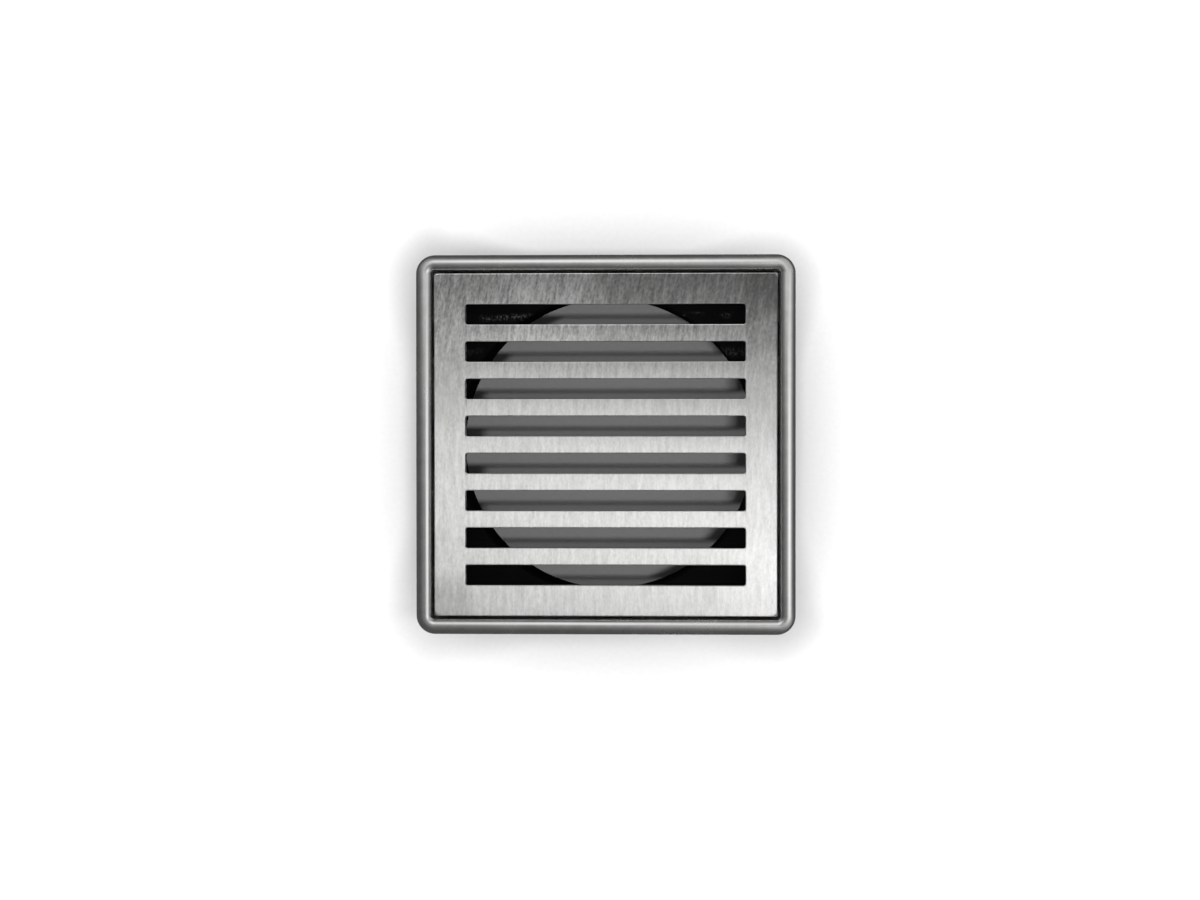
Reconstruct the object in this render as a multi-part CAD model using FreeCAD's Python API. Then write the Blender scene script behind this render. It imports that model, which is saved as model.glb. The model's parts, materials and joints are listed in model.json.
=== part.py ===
import FreeCAD, Part
import math
import os

# Square floor drain grate: pressed bezel, lift-out slotted plate, riser tray with a
# round throat, and a threaded ring under the tray that sets the height of the grate.
# Millimetres. Origin: centre of the spigot's open end. +Z up towards the grate,
# +X right, along the slots, +Y back. A "half" is half the width of a square.

Vector = FreeCAD.Vector

CUT = 1.0               # how far a cutter runs past the face it opens
EMBED = 0.5             # how far a part sinks into the body it is fused to

# heights shared by several pieces
Z_SPIGOT_END = 0.0      # open end of the spigot
Z_TRAY_WALL = 17.0      # lower edge of the tray's stiffening wall
Z_BOSS = 20.2           # lower face of the stud bosses
Z_TRAY_UNDER = 21.0     # underside of the tray
Z_SKIRT = 23.0          # lower edge of the bezel's skirt
Z_TRAY_FLOOR = 23.5     # wet floor of the tray
Z_SEAT_RIM = 25.0       # gasket seat around the tray
Z_LEDGE_LOW = 25.6      # underside of the bezel's inner ledge
Z_PLATE_LOW = 27.8
Z_PLATE_TOP = 30.3
Z_CREST = 31.5          # crest of the bezel's bead

# bezel
BEZEL_HALF = 54.0
BEZEL_CORNER = 5.4
SHEET = 1.0             # sheet thickness
Z_LEDGE_TOP = Z_LEDGE_LOW + SHEET
BEAD_WIDTH = 4.6        # width of the half-round bead
BEAD_R = BEAD_WIDTH / 2 - 0.01  # just short of a full half round, so the fillets build
LEDGE_HALF = 43.9       # opening inside the ledge
LEDGE_CORNER = 3.0

# grate plate
PLATE_HALF = 48.8
PLATE_CORNER = 1.4
PLATE_EASE = 0.25       # rounding of the upper edges
SLOT_COUNT = 8
SLOT_PITCH = 10.6
SLOT_WIDTH = 5.7
SLOT_LENGTH = 79.6
SLOT_CORNER = 0.6

# friction clips under the plate
CLIP_SHEET = 0.4
CLIP_WIDTH = 16.0
CLIP_FOOT_IN = 40.4     # inner end of the foot
CLIP_OUT = 43.85        # widest point of the bowed leg
Z_CLIP_TIP = 24.1

# rest pads between ledge and plate
PAD_LENGTH = 10.0
PAD_WIDTH = 3.6
PAD_CORNER = 0.8
PAD_X = 46.5
PAD_Y = 30.0

# M3 studs, washers and nuts, one at each corner
STUD_AT = 47.0
STUD_PLACES = [(STUD_AT, STUD_AT), (-STUD_AT, STUD_AT),
               (-STUD_AT, -STUD_AT), (STUD_AT, -STUD_AT)]
STUD_R = 1.5
STUD_CHAMFER = 0.4
Z_STUD_END = 16.6
STUD_HOLE_R = STUD_R + 0.2      # in the tray
SNUG_HOLE_R = STUD_R + 0.1      # in washers and gasket
NUT_BORE_R = STUD_R + 0.02
WASHER_R = 3.5
WASHER_THICK = 0.5
NUT_FLATS = 5.5         # width across flats
NUT_HEIGHT = 2.4
NUT_BEVEL_IN = 0.05     # bevel's start inside the flats
NUT_BEVEL_OUT = 0.1     # bevel's end outside the hexagon's corners
NUT_BEVEL_DROP = 0.27

# tray
TRAY_HALF = 52.5
TRAY_CORNER = 4.0
TRAY_WALL = 1.8
POCKET_HALF = 45.5
POCKET_CORNER = 3.0
RIB_IN = 51.0           # halves of the locating rib in the bead's hollow
RIB_OUT = 52.4
Z_RIB = 27.6
BOSS_R = 4.3
WEB_START = 51.4        # webs on the diagonals: distance from the axis
WEB_LENGTH = 8.5
WEB_WIDTH = 1.6
WEB_DEPTH = 1.8         # below the tray's underside

# throat and collar
THROAT_R = 42.5
THROAT_STOCK = 2.0      # extra collar wall inside the throat, cut away last
THROAT_CHAMFER = 0.4    # at the spigot's end
COLLAR_R = 45.0
COLLAR_CHAMFER = 0.8
GROOVE_LOW = 6.2
GROOVE_TOP = 8.6
GROOVE_R = 43.8
SEAL_CORD = 1.8         # diameter of the seal's cord

# height thread, right-hand
PITCH = 2.5
THREAD_ROOT = 45.9
THREAD_CREST = 47.1
THREAD_BASE = 1.55      # ridge width at the root cylinder
THREAD_TIP = 0.85       # ridge width at the crest
THREAD_SLOPE = (THREAD_BASE - THREAD_TIP) / (THREAD_CREST - THREAD_ROOT)
THREAD_Z0 = 12.6        # middle of the ridge at its start
THREAD_TURNS = 3.0
THREAD_START_DEG = 23.0
THREAD_PLAY_R = 0.25
THREAD_PLAY_Z = 0.15    # axial play on each flank
THREAD_LOW = 11.6       # lower end of the root cylinder
CUTTER_TURNS = 5.0
CUTTER_INSET = 0.4      # cutter's start inside the root cylinder

# height ring, slip washer, bedding seal, gasket
RING_LOW = 13.5
RING_TOP = 18.0
RING_R = 50.0
RING_BORE_R = THREAD_ROOT + THREAD_PLAY_R
RING_CHAMFER = 0.5
NOTCH_COUNT = 12
NOTCH_R = 3.4
NOTCH_AT = RING_R + 1.6
SLIP_LOW = 12.7
SLIP_IN = 47.4
BED_LOW = 10.7
BED_OUT = 52.0
GASKET_IN = 45.6
GASKET_OUT = 50.3
GASKET_CORNER = 1.7


# ------------------------------------------------------------------- helpers
def prism(half, corner, z0, z1, half_y=None):
    """Prism about Z with rounded upright edges, square unless half_y is given."""
    if half_y is None:
        half_y = half
    box = Part.makeBox(2 * half, 2 * half_y, z1 - z0, Vector(-half, -half_y, z0))
    uprights = [edge for edge in box.Edges
                if abs(edge.Vertexes[0].Point.z - edge.Vertexes[-1].Point.z) > 1e-6]
    return box.makeFillet(corner, uprights)


def disc(radius, z0, z1, x=0.0, y=0.0):
    return Part.makeCylinder(radius, z1 - z0, Vector(x, y, z0))


def washer(r_in, r_out, z0, z1, x=0.0, y=0.0):
    return disc(r_out, z0, z1, x, y).cut(disc(r_in, z0 - CUT, z1 + CUT, x, y))


def flat_edges(shape, z, inside=math.inf):
    """Edges in the plane z that reach no further than inside along X or Y."""
    found = []
    for edge in shape.Edges:
        box = edge.BoundBox
        level = abs(box.ZMin - z) <= 1e-4 and abs(box.ZMax - z) <= 1e-4
        reach = max(abs(box.XMin), abs(box.XMax), abs(box.YMin), abs(box.YMax))
        if level and reach <= inside:
            found.append(edge)
    return found


def closed_face(points):
    return Part.Face(Part.makePolygon(points + points[:1]))


def revolve(outline):
    """Solid of revolution about Z from (r, z) points."""
    face = closed_face([Vector(r, 0, z) for r, z in outline])
    return face.revolve(Vector(0, 0, 0), Vector(0, 0, 1), 360)


def turned(shape, degrees):
    copy = shape.copy()
    copy.rotate(Vector(0, 0, 0), Vector(0, 0, 1), degrees)
    return copy


def ridge(r_low, r_high, z_mid, turns, play=0.0):
    """Helical thread ridge with a trapezium section, wider by play on each flank."""
    def half_width(radius):
        return (THREAD_BASE - THREAD_SLOPE * (radius - THREAD_ROOT)) / 2 + play

    path = Part.makeHelix(PITCH, PITCH * turns, r_low)
    path.translate(Vector(0, 0, z_mid))
    low, high = half_width(r_low), half_width(r_high)
    points = [Vector(r_low, 0, z_mid - low), Vector(r_high, 0, z_mid - high),
              Vector(r_high, 0, z_mid + high), Vector(r_low, 0, z_mid + low)]
    section = Part.makePolygon(points + points[:1])
    solid = Part.Wire(path).makePipeShell([section], True, True)
    return turned(solid, THREAD_START_DEG)


# --------------------------------------------------------------------- bezel
def make_bezel():
    # the bead: round the outer crest, open the middle, round the inner crest
    inner = BEZEL_HALF - BEAD_WIDTH
    inner_corner = BEZEL_CORNER - BEAD_WIDTH
    body = prism(BEZEL_HALF, BEZEL_CORNER, Z_SKIRT, Z_CREST)
    body = body.makeFillet(BEAD_R, flat_edges(body, Z_CREST))
    body = body.cut(prism(inner, inner_corner, Z_LEDGE_TOP, Z_CREST + CUT))
    body = body.makeFillet(BEAD_R, flat_edges(body, Z_CREST, inside=inner + 0.5))

    # hollow under the bead, between the skirt and the inner wall
    skirt_in = BEZEL_HALF - SHEET
    skirt_corner = BEZEL_CORNER - SHEET
    z_hollow = Z_CREST - SHEET
    hollow = prism(skirt_in, skirt_corner, Z_SKIRT - CUT, z_hollow)
    hollow = hollow.cut(
        prism(inner + SHEET, inner_corner + SHEET, Z_SKIRT - 2 * CUT, Z_CREST))
    hollow = hollow.makeFillet(BEAD_R - SHEET, flat_edges(hollow, z_hollow))
    body = body.cut(hollow)

    # space under the ledge, then the opening inside it
    body = body.cut(prism(skirt_in, skirt_corner, Z_SKIRT - CUT, Z_LEDGE_LOW))
    return body.cut(prism(LEDGE_HALF, LEDGE_CORNER, Z_SKIRT - CUT, Z_LEDGE_TOP + CUT))


def make_studs():
    studs = []
    for x, y in STUD_PLACES:
        stud = disc(STUD_R, Z_STUD_END, Z_LEDGE_LOW, x, y)
        studs.append(stud.makeChamfer(STUD_CHAMFER, flat_edges(stud, Z_STUD_END)))
    return Part.makeCompound(studs)


def make_stud_washers():
    return Part.makeCompound([washer(SNUG_HOLE_R, WASHER_R, Z_BOSS - WASHER_THICK, Z_BOSS, x, y)
                              for x, y in STUD_PLACES])


def make_nuts():
    top = Z_BOSS - WASHER_THICK
    low = top - NUT_HEIGHT
    corner_r = NUT_FLATS / math.sqrt(3)
    bevel_in = NUT_FLATS / 2 - NUT_BEVEL_IN
    bevel_out = corner_r + NUT_BEVEL_OUT
    nuts = []
    for x, y in STUD_PLACES:
        angles = [math.radians(60 * k) for k in range(6)]
        hexagon = closed_face([Vector(x + corner_r * math.cos(angle),
                                      y + corner_r * math.sin(angle), low)
                               for angle in angles])
        nut = hexagon.extrude(Vector(0, 0, NUT_HEIGHT))
        # bevel the corners at both ends
        limit = revolve([
            (0, low), (bevel_in, low), (bevel_out, low + NUT_BEVEL_DROP),
            (bevel_out, top - NUT_BEVEL_DROP), (bevel_in, top), (0, top)])
        limit.translate(Vector(x, y, 0))
        nut = nut.common(limit)
        nuts.append(nut.cut(disc(NUT_BORE_R, low - CUT, top + CUT, x, y)))
    return Part.makeCompound(nuts)


def make_gasket():
    gasket = prism(GASKET_OUT, GASKET_CORNER, Z_SEAT_RIM, Z_LEDGE_LOW)
    gasket = gasket.cut(prism(GASKET_IN, POCKET_CORNER, Z_SEAT_RIM - CUT, Z_LEDGE_LOW + CUT))
    for x, y in STUD_PLACES:
        gasket = gasket.cut(disc(SNUG_HOLE_R, Z_SEAT_RIM - CUT, Z_LEDGE_LOW + CUT, x, y))
    return gasket


# --------------------------------------------------------------- grate plate
def make_plate():
    plate = prism(PLATE_HALF, PLATE_CORNER, Z_PLATE_LOW, Z_PLATE_TOP)
    for i in range(SLOT_COUNT):
        slot = prism(SLOT_LENGTH / 2, SLOT_CORNER, Z_PLATE_LOW - CUT, Z_PLATE_TOP + CUT,
                     half_y=SLOT_WIDTH / 2)
        slot.translate(Vector(0, (i - (SLOT_COUNT - 1) / 2) * SLOT_PITCH, 0))
        plate = plate.cut(slot)
    return plate.makeFillet(PLATE_EASE, flat_edges(plate, Z_PLATE_TOP))


def make_clip():
    """Clip for the right side: a foot, a bend, and a bowed leg with a lead-in tip."""
    top = Z_PLATE_LOW
    leg_in = CLIP_OUT - CLIP_SHEET
    # (x, z): outer face from foot to tip, then inner face back to the foot
    outline = [
        (CLIP_FOOT_IN, top), (42.75, top), (43.30, top - 0.22), (43.55, top - 0.62),
        (CLIP_OUT, top - 1.35), (CLIP_OUT, top - 1.85),
        (43.45, Z_CLIP_TIP + 0.45), (42.95, Z_CLIP_TIP),
        (42.60, Z_CLIP_TIP + 0.20), (43.06, Z_CLIP_TIP + 0.62),
        (leg_in, top - 1.90), (leg_in, top - 1.38), (43.16, top - 0.74),
        (42.96, top - 0.50), (42.66, top - CLIP_SHEET), (CLIP_FOOT_IN, top - CLIP_SHEET)]
    face = closed_face([Vector(x, -CLIP_WIDTH / 2, z) for x, z in outline])
    return face.extrude(Vector(0, CLIP_WIDTH, 0))


def make_pad(x, y):
    pad = prism(PAD_WIDTH / 2, PAD_CORNER, Z_LEDGE_TOP, Z_PLATE_LOW, half_y=PAD_LENGTH / 2)
    pad.translate(Vector(x, y, 0))
    return pad


# ---------------------------------------------------------------- riser body
def make_collar():
    """Collar with its spigot, seal groove and thread root, solid into the throat."""
    bore = THROAT_R - THROAT_STOCK
    top = Z_TRAY_UNDER + 2 * EMBED
    return revolve([
        (bore, 3), (bore, top), (THREAD_ROOT, top), (THREAD_ROOT, THREAD_LOW),
        (COLLAR_R, THREAD_LOW - (THREAD_ROOT - COLLAR_R)),
        (COLLAR_R, GROOVE_TOP), (GROOVE_R, GROOVE_TOP),
        (GROOVE_R, GROOVE_LOW), (COLLAR_R, GROOVE_LOW),
        (COLLAR_R, Z_SPIGOT_END + COLLAR_CHAMFER),
        (COLLAR_R - COLLAR_CHAMFER, Z_SPIGOT_END), (bore, Z_SPIGOT_END)])


def make_throat_cutter():
    """Throat bore, chamfered at the spigot's end and eased in two steps at the floor."""
    mouth = THROAT_R + THROAT_CHAMFER
    lip = THROAT_R + 0.9
    return revolve([
        (0, Z_SPIGOT_END - CUT), (mouth, Z_SPIGOT_END - CUT), (mouth, Z_SPIGOT_END),
        (THROAT_R, Z_SPIGOT_END + THROAT_CHAMFER), (THROAT_R, Z_TRAY_FLOOR - 0.9),
        (THROAT_R + 0.3, Z_TRAY_FLOOR - 0.3), (lip, Z_TRAY_FLOOR),
        (lip, Z_TRAY_FLOOR + CUT), (0, Z_TRAY_FLOOR + CUT)])


def make_riser():
    # tray, hollow underneath inside its stiffening wall
    tray = prism(TRAY_HALF, TRAY_CORNER, Z_TRAY_WALL, Z_SEAT_RIM)
    tray = tray.cut(prism(TRAY_HALF - TRAY_WALL, TRAY_CORNER - TRAY_WALL,
                          Z_TRAY_WALL - CUT, Z_TRAY_UNDER))
    # locating rib, its corners concentric with the tray's
    rib = prism(RIB_OUT, TRAY_CORNER - (TRAY_HALF - RIB_OUT), Z_SEAT_RIM - EMBED, Z_RIB)
    rib = rib.cut(prism(RIB_IN, TRAY_CORNER - (TRAY_HALF - RIB_IN),
                        Z_SEAT_RIM - CUT, Z_RIB + CUT))
    tray = tray.fuse(rib)
    # stud bosses, and short diagonal webs between them and the collar
    for x, y in STUD_PLACES:
        tray = tray.fuse(disc(BOSS_R, Z_BOSS, Z_TRAY_UNDER + EMBED, x, y))
    for degrees in (45, 135, 225, 315):
        web = Part.makeBox(WEB_LENGTH, WEB_WIDTH, WEB_DEPTH + EMBED,
                           Vector(WEB_START, -WEB_WIDTH / 2, Z_TRAY_UNDER - WEB_DEPTH))
        tray = tray.fuse(turned(web, degrees))
    tray = tray.fuse(make_collar())
    tray = tray.fuse(ridge(THREAD_ROOT - EMBED, THREAD_CREST, THREAD_Z0, THREAD_TURNS))
    # pocket, throat and stud holes
    tray = tray.cut(prism(POCKET_HALF, POCKET_CORNER, Z_TRAY_FLOOR, Z_SEAT_RIM + 5 * CUT))
    tray = tray.cut(make_throat_cutter())
    for x, y in STUD_PLACES:
        tray = tray.cut(disc(STUD_HOLE_R, Z_TRAY_WALL - CUT, Z_RIB + CUT, x, y))
    return tray


def make_spigot_seal():
    cord_r = SEAL_CORD / 2
    return Part.makeTorus(GROOVE_R + cord_r, cord_r,
                          Vector(0, 0, (GROOVE_LOW + GROOVE_TOP) / 2))


# --------------------------------------------------------------- height ring
def make_ring():
    rim = RING_R - RING_CHAMFER
    ring = revolve([
        (RING_BORE_R, RING_LOW), (rim, RING_LOW), (RING_R, RING_LOW + RING_CHAMFER),
        (RING_R, RING_TOP - RING_CHAMFER), (rim, RING_TOP), (RING_BORE_R, RING_TOP)])
    for k in range(NOTCH_COUNT):
        angle = math.radians(360 / NOTCH_COUNT * (k + 0.5))
        ring = ring.cut(disc(NOTCH_R, RING_LOW - CUT, RING_TOP + CUT,
                             NOTCH_AT * math.cos(angle), NOTCH_AT * math.sin(angle)))
    # internal thread: the tray's ridge plus running play, started one turn lower
    return ring.cut(ridge(THREAD_ROOT - CUTTER_INSET, THREAD_CREST + THREAD_PLAY_R,
                          THREAD_Z0 - PITCH, CUTTER_TURNS, play=THREAD_PLAY_Z))


# --------------------------------------------------------------------- build
def build():
    pieces = {
        "bezel_frame": make_bezel(),
        "bezel_studs": make_studs(),
        "stud_washers": make_stud_washers(),
        "stud_nuts": make_nuts(),
        "bezel_gasket": make_gasket(),
        "riser_body": make_riser(),
        "spigot_seal": make_spigot_seal(),
        "grate_plate": make_plate(),
        "slip_washer": washer(SLIP_IN, RING_R, SLIP_LOW, RING_LOW),
        "bedding_seal": washer(SLIP_IN, BED_OUT, BED_LOW, SLIP_LOW),
        "height_ring": make_ring(),
    }
    for row, y in (("back", PAD_Y), ("front", -PAD_Y)):
        for side, x in (("right", PAD_X), ("left", -PAD_X)):
            pieces[f"rest_pad_{row}_{side}"] = make_pad(x, y)
    clip = make_clip()
    for side, degrees in (("right", 0), ("back", 90), ("left", 180), ("front", 270)):
        pieces["clip_" + side] = turned(clip, degrees)
    return pieces


os.makedirs("parts", exist_ok=True)
for name, shape in build().items():
    if not shape.isValid() or not shape.Solids:
        raise RuntimeError("bad solid: " + name)
    shape.exportStep("parts/" + name + ".step")
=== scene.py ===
"""A square slotted grate in a bezel, on a round threaded riser with a height ring.

+Z is up and the object's axis is the Z axis; the foot of the round collar stands at z = 0.
The square's sides follow X and Y, the slots run along X. Right is +X and back is +Y.
Shapes are written in mm and scaled when a mesh is made; materials and lights work in metres.
"""

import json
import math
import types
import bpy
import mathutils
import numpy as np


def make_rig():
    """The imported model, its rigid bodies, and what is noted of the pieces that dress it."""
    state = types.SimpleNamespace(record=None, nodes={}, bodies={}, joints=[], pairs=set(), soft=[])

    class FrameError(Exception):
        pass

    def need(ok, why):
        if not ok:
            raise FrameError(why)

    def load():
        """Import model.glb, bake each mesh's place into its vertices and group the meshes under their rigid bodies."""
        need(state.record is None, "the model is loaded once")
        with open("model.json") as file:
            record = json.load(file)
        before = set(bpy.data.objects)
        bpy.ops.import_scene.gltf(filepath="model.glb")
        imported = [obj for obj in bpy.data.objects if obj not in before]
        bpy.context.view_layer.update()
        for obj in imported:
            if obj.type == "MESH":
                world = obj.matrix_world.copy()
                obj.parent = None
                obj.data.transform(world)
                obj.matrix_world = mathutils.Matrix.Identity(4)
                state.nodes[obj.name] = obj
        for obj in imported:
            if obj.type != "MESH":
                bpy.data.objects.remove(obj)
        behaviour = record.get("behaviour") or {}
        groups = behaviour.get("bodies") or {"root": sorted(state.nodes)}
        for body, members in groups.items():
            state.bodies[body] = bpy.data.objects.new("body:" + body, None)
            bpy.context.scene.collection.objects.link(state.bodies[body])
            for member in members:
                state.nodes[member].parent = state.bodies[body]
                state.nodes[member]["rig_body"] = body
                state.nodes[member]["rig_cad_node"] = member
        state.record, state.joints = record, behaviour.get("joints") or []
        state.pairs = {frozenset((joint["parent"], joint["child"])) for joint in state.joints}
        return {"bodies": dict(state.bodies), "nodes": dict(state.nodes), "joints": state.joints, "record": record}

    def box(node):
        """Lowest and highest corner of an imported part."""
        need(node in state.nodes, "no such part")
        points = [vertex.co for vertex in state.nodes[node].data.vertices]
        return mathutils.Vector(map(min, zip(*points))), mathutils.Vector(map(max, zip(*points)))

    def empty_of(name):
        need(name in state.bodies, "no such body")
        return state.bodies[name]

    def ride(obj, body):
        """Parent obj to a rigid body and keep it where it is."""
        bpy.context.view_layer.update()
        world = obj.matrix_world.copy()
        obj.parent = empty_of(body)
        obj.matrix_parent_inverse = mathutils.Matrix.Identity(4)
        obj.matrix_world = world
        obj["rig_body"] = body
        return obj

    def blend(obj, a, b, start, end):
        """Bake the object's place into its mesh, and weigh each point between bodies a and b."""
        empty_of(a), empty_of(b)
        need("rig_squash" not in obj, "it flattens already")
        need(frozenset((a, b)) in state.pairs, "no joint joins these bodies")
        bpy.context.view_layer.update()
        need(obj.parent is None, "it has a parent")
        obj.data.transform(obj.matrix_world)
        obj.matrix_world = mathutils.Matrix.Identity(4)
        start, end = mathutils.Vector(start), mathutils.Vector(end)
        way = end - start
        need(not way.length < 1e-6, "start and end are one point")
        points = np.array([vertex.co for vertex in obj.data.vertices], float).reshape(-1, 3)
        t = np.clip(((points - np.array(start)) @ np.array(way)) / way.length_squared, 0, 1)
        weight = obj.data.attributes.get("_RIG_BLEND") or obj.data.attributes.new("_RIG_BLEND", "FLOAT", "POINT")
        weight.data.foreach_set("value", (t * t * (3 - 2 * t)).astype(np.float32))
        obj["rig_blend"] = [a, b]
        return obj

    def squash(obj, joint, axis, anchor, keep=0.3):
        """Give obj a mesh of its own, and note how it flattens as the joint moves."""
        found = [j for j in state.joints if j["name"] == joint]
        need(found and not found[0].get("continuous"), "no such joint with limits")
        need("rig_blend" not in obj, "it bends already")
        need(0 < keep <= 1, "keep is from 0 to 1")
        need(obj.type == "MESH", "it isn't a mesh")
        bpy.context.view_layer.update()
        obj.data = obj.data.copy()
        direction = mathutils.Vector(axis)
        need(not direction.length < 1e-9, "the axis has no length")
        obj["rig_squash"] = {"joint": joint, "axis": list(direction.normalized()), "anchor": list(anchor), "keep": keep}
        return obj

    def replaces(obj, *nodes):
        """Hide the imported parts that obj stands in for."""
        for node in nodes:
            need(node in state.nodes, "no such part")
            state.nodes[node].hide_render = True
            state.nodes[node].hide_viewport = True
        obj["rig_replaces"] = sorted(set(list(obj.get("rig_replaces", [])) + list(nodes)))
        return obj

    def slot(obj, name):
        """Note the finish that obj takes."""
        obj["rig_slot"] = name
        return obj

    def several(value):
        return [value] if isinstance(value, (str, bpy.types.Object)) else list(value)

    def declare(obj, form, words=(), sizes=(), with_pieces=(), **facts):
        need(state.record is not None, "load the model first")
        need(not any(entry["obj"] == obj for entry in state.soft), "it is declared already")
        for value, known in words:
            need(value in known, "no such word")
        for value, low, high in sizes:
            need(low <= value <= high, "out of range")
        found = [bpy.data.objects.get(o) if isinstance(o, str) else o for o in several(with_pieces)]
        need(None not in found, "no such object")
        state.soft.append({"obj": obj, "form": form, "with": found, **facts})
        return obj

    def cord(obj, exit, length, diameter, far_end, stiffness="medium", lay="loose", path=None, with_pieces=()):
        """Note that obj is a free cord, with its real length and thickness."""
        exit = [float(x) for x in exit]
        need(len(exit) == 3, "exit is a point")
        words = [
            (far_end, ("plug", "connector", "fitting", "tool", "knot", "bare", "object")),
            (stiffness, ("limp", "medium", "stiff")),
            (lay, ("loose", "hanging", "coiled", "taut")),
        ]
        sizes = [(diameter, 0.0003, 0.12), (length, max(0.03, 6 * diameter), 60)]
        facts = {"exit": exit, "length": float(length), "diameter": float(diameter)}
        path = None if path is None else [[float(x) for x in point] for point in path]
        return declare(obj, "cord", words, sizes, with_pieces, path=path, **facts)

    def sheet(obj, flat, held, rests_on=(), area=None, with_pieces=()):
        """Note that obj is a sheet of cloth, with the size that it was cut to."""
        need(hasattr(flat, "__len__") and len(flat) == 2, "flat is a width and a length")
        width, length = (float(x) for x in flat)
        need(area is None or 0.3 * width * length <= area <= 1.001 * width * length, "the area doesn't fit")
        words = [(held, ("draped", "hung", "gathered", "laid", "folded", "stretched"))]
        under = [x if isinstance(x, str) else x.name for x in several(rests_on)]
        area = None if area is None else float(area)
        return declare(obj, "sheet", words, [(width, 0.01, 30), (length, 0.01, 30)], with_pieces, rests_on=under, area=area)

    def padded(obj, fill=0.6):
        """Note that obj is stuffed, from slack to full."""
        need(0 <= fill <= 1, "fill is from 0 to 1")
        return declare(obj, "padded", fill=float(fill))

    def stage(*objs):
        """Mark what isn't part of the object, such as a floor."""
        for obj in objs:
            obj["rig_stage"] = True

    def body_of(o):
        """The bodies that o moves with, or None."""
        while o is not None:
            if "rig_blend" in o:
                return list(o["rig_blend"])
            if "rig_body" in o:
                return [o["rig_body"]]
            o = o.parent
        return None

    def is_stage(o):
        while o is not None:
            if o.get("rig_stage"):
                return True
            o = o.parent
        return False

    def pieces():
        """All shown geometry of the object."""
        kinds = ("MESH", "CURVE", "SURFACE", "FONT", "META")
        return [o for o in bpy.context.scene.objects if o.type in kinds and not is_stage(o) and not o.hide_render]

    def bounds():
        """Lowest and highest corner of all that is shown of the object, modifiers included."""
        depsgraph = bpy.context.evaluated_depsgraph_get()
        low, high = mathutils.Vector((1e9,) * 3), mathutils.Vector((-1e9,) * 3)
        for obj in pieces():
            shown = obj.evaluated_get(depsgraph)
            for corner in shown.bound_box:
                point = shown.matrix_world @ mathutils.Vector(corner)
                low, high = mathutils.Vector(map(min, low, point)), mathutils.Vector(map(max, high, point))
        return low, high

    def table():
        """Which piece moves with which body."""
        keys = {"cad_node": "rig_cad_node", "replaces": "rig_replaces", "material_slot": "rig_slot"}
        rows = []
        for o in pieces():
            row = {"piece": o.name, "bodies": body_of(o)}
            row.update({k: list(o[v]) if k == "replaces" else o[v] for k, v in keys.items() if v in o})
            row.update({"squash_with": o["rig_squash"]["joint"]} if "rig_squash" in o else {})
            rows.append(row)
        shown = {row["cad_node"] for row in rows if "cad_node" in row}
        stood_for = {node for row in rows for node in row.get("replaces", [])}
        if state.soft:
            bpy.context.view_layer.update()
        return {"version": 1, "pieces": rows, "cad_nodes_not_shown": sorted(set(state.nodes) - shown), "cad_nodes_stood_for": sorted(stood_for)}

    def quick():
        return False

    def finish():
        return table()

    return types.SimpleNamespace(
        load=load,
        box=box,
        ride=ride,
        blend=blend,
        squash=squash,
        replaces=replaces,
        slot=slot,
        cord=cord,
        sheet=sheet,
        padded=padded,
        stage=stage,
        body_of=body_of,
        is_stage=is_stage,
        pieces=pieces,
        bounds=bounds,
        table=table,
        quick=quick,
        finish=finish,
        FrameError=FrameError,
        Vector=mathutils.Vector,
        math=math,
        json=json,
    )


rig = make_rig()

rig.load()

import json
import math
from functools import cached_property

import bmesh
import bpy
import numpy as np
from mathutils import Matrix, Vector

cad_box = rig.bounds()
scene = bpy.context.scene
MM = 0.001

# ------------------------------------------------------------- dimensions, mm
# Heights
Z_TRAY_WALL, Z_TRAY_UNDER, Z_TRAY_FLOOR, Z_SEAT = 17.0, 21.0, 23.5, 25.0
Z_LEDGE_LOW, Z_LEDGE_TOP = 25.6, 26.6
Z_PLATE_LOW, Z_PLATE_TOP, Z_CREST, Z_SKIRT = 27.8, 30.3, 31.5, 23.0

# Bezel: half width, outer corner radius, bead radius, sheet thickness
BEZEL, BEZEL_R, BEAD, SHEET = 54.0, 5.4, 2.3, 1.0
BEZEL_CORNER = BEZEL - BEZEL_R      # x and y of the centre its corners turn about
BEZEL_INNER = BEZEL - 2 * BEAD      # inner face of the bead
LEDGE_TIP = 43.9                    # inner edge of the ledge

# Grate plate: half width, corner radius, slots
PLATE, PLATE_R = 48.8, 1.4
SLOTS, SLOT_PITCH, SLOT_WIDTH, SLOT_LENGTH, SLOT_R = 8, 10.6, 5.7, 79.6, 0.6

# Riser: radii of the throat, the collar, and the thread's root and crest
THROAT, COLLAR, ROOT, CREST = 42.5, 45.0, 45.9, 47.1
TRAY_CORNER_OUT, TRAY_CORNER_IN = 48.5, 42.5    # centres of the tray wall's corners

# Thread ridge: width at root and tip, height of its start, number of turns, starting angle
THREAD_PITCH, THREAD_BASE, THREAD_TIP = 2.5, 1.55, 0.85
THREAD_Z, THREAD_TURNS, THREAD_START = 12.6, 3.0, math.radians(23.0)
THREAD_RISE = CREST - ROOT
THREAD_SLOPE = (THREAD_BASE - THREAD_TIP) / 2 / THREAD_RISE

# Height ring: bottom, top, outer radius
RING_LOW, RING_TOP, RING_OUTER = 13.5, 18.0, 50.0

# Studs, nuts and washers stand at the four corners
STUD_AT, STUD_R, STUD_PITCH = 47.0, 1.5, 0.5
NUT_LOW, NUT_TOP = 17.3, 19.7
CORNERS = {"back_right": (1, 1), "back_left": (-1, 1),
           "front_left": (-1, -1), "front_right": (1, -1)}
STUDS = [(sx * STUD_AT, sy * STUD_AT) for sx, sy in CORNERS.values()]

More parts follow.
